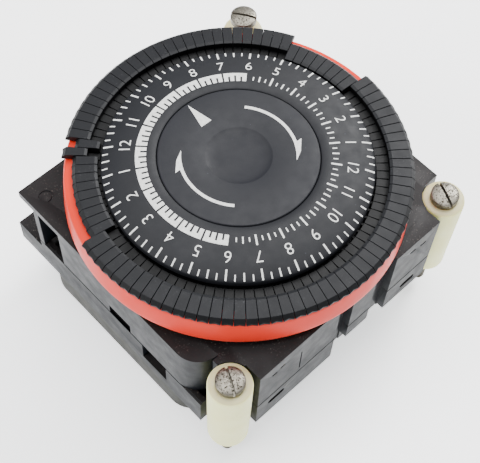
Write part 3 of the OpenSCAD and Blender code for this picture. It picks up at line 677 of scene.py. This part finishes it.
def seam_shadow():
    """Painted shadow: black matte strips in the gap between the two shells, a hair proud of the
    walls.
    """
    z0, z1, outer, inner = 21.02, 21.46, 33.26, 32.8
    strips = [(-outer, -18.6, -inner, 17.2), (inner, -25.2, outer, 25.2)]
    strips += [(x0, -outer, x1, -inner) for x0, x1 in ((-25.2, -3.6), (0.6, 6.8), (12.5, 25.2))]
    bm = bmesh.new()
    for x0, y0, x1, y1 in strips:
        slab(bm, x0, y0, x1, y1, z0, z1)
    finish_piece("seam_painted_shadow", from_bmesh(bm), SEAM_SHADE, "housing")


# ---------- screws and spacers ----------

def screws():
    """Slotted pan heads with threaded ends; the far one stands a little backed out."""
    head_r, head_h, rim_h, slot_half, slot_d = 2.9, 2.0, 1.35, 0.28, 1.3
    length, backed_out, lift, clear = 33.0, 3.0, 0.02, 4
    rim_w, rim_from = 0.08, 40
    slot_angles = {(-1, -1): -117, (1, -1): -113, (1, 1): -56}
    whole = bmesh.new()
    seats = {}
    for (sx, sy), slot_at in slot_angles.items():
        seat = PLATE_Z + lift + (backed_out if sx + sy > 0 else 0)
        seats[sx, sy] = seat
        bm = bmesh.new()
        dome = [(head_r * k / 10, seat + rim_h + (head_h - rim_h) * math.sqrt(1 - (k / 10.6) ** 2))
                for k in range(11)]
        profile = dome + [(head_r, seat + 0.25), (head_r - 0.15, seat), (0, seat)]
        revolve(bm, profile, 96)
        head = from_bmesh(bm)
        cutter = bmesh.new()
        slab(cutter, -clear, -slot_half, clear, slot_half, seat + head_h - slot_d, seat + clear)
        cutter.transform(Matrix.Rotation(math.radians(slot_at), 4, "Z"))
        knife = from_bmesh(cutter)
        for one in (head, knife):
            bpy.context.scene.collection.objects.link(one)
        cut = head.modifiers.new("slot", "BOOLEAN")
        cut.object = knife
        cut.solver = "EXACT"
        rim = head.modifiers.new("round", "BEVEL")
        rim.width = rim_w * MM
        rim.segments = 2
        rim.limit_method = "ANGLE"
        rim.angle_limit = math.radians(rim_from)
        bpy.context.view_layer.update()
        data = bpy.data.meshes.new_from_object(
            head.evaluated_get(bpy.context.evaluated_depsgraph_get()))
        data.transform(Matrix.Translation((sx * SCREW_XY * MM, sy * SCREW_XY * MM, 0)))
        whole.from_mesh(data)
        bpy.data.objects.remove(head)
        bpy.data.objects.remove(knife)
    whole.transform(Matrix.Scale(1 / MM, 4))
    for (sx, sy), seat in seats.items():
        thread(whole, sx * SCREW_XY, sy * SCREW_XY, seat - length, seat + 0.01)
    finish_piece("mounting_screw_set", from_bmesh(whole), NICKEL, "housing",
                 ["mounting_screws"], 40)


def thread(bm, x, y, z0, z1, major=1.5, depth=0.28, pitch=0.5):
    """A shank with a real helical thread at its lower end and plain above."""
    around, rows_per_turn, plain_above, plain_r = 24, 6, 11.4, 1.34
    rows = math.ceil((z1 - z0) / pitch * rows_per_turn)
    rings = []
    for j in range(rows + 1):
        z = z0 + (z1 - z0) * j / rows
        ring = []
        for k in range(around):
            phase = (z / pitch - k / around) % 1
            groove = depth * (1 - abs(2 * phase - 1)) if z < plain_above else major - plain_r
            point = 0.35 * max(0.0, 1 - (z - z0) / 0.5)
            px, py = polar(major - groove - point, 360 * k / around)
            ring.append(bm.verts.new((x + px, y + py, z)))
        rings.append(ring)
    for here, there in zip(rings, rings[1:]):
        for k in range(around):
            m = (k + 1) % around
            bm.faces.new((here[k], here[m], there[m], there[k]))
    bm.faces.new(rings[0][::-1])
    bm.faces.new(rings[-1])


def spacers():
    """Three nylon tubes with a slight taper and a rounded foot."""
    bm = bmesh.new()
    low, high, r, bore = 12.0, PLATE_Z, 4.4, 1.65
    profile = [(bore + 0.2, high), (bore, high - 0.2), (bore, low + 0.2), (bore + 0.2, low),
               (r - 0.55, low), (r - 0.25, low + 0.12), (r - 0.15, low + 0.4), (r, high - 0.5),
               (r - 0.1, high - 0.18), (r - 0.32, high)]
    for sx, sy in ((-1, -1), (1, -1), (1, 1)):
        revolve(bm, profile, 96, (sx * SCREW_XY, sy * SCREW_XY))
    finish_piece("spacer_tubes", from_bmesh(bm), NYLON, "housing",
                 ["mounting_spacers"], 50)


# ---------- stage, light and camera ----------

def pale_floor():
    n = Nodes("pale_floor")
    n.colour(n.mix(n.band(n.noise(60, 3), 0.3, 0.7), srgb("#f3f3f3"), srgb("#f8f8f8")))
    n.set(Roughness=0.9, Emission_Strength=1.2)
    n.shader.inputs["Emission Color"].default_value = (0.96, 0.98, 1, 1)
    bm = bmesh.new()
    bmesh.ops.create_grid(bm, x_segments=1, y_segments=1, size=2.5)
    data = bpy.data.meshes.new("floor")
    bm.to_mesh(data)
    bm.free()
    data.materials.append(n.material)
    floor = bpy.data.objects.new("floor", data)
    bpy.context.scene.collection.objects.link(floor)


def area_light(name, place, aim, size, power, colour=(1, 1, 1)):
    light = bpy.data.lights.new(name, "AREA")
    light.shape = "DISK"
    light.size = size
    light.energy = power
    light.color = colour
    lamp = bpy.data.objects.new(name, light)
    lamp.location = place
    lamp.rotation_euler = (Vector(aim) - Vector(place)).to_track_quat("-Z", "Y").to_euler()
    bpy.context.scene.collection.objects.link(lamp)


def studio():
    """Plain soft light from above and from both sides."""
    world = bpy.data.worlds.new("studio")
    world.use_nodes = True
    world.node_tree.nodes["Background"].inputs["Color"].default_value = (0.93, 0.96, 1.0, 1)
    world.node_tree.nodes["Background"].inputs["Strength"].default_value = 0.4
    bpy.context.scene.world = world
    middle = (0, 0, 0.03)
    area_light("top", (0.1, 0.1, 0.9), middle, 0.9, 13)
    area_light("right", (0.72, 0.1, 0.62), middle, 0.45, 13)
    area_light("left", (-0.6, 0.2, 0.5), middle, 0.5, 5)


def camera():
    """Looks at the dial from the near corner, 60 degrees above the floor."""
    aim = Vector((-11.61, -12.63, 48.24)) * MM
    azimuth, elevation, roll, distance = -46.05, 60.1, 3.16, 204.6 * MM
    a, e, r = (math.radians(v) for v in (azimuth, elevation, roll))
    back = Vector((math.sin(a) * math.cos(e), -math.cos(a) * math.cos(e), math.sin(e)))
    right = (-back).cross(Vector((0, 0, 1))).normalized()
    up = right.cross(-back)
    turned_right = math.cos(r) * right + math.sin(r) * up
    turned_up = math.cos(r) * up - math.sin(r) * right
    lens = bpy.data.cameras.new("camera")
    lens.sensor_width = 36.0
    lens.lens = 82.125
    lens.clip_start = 0.01
    eye = bpy.data.objects.new("camera", lens)
    rows = Matrix((turned_right, turned_up, back)).transposed().to_4x4()
    eye.matrix_world = Matrix.Translation(aim + back * distance) @ rows
    bpy.context.scene.collection.objects.link(eye)
    bpy.context.scene.camera = eye


camera()
pale_floor()
studio()
dial_face()
centre_disc()
tappets()
screws()
spacers()
red_ring()
housing()
seam_shadow()
